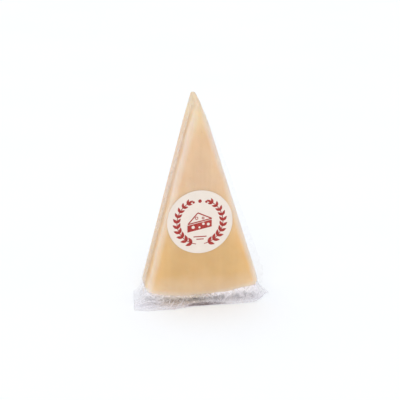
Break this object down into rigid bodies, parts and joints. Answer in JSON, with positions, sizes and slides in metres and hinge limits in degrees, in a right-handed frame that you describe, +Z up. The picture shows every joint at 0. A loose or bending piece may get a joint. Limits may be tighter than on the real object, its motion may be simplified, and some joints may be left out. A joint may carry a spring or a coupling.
{
  "type": "pecorino romano cheese wedge",
  "caption": "Tall narrow wedge of hard pale cheese in clear vacuum film, standing on its curved rind in a crumpled film foot, with a round paper label on its front face.",
  "frame": {"origin": "on the floor, in the middle of the whole object's footprint", "axes": "+Z up through the point of the wedge, -Y out of the front face with the label, +X to the right of that face"},
  "size_m": [0.1086, 0.0482, 0.1603],
  "materials": {
    "cheese_paste": "smooth hard-cheese paste, pale straw to golden, slightly translucent; not a plastic",
    "clear_film": "clear glossy vacuum-pack film, crinkled where it is loose",
    "label_paper": "uncoated cream paper with a red print"
  },
  "bodies": {
    "root": {"cheese": "cheese_paste", "film": "clear_film", "label": "label_paper"}
  },
  "joints": []
}
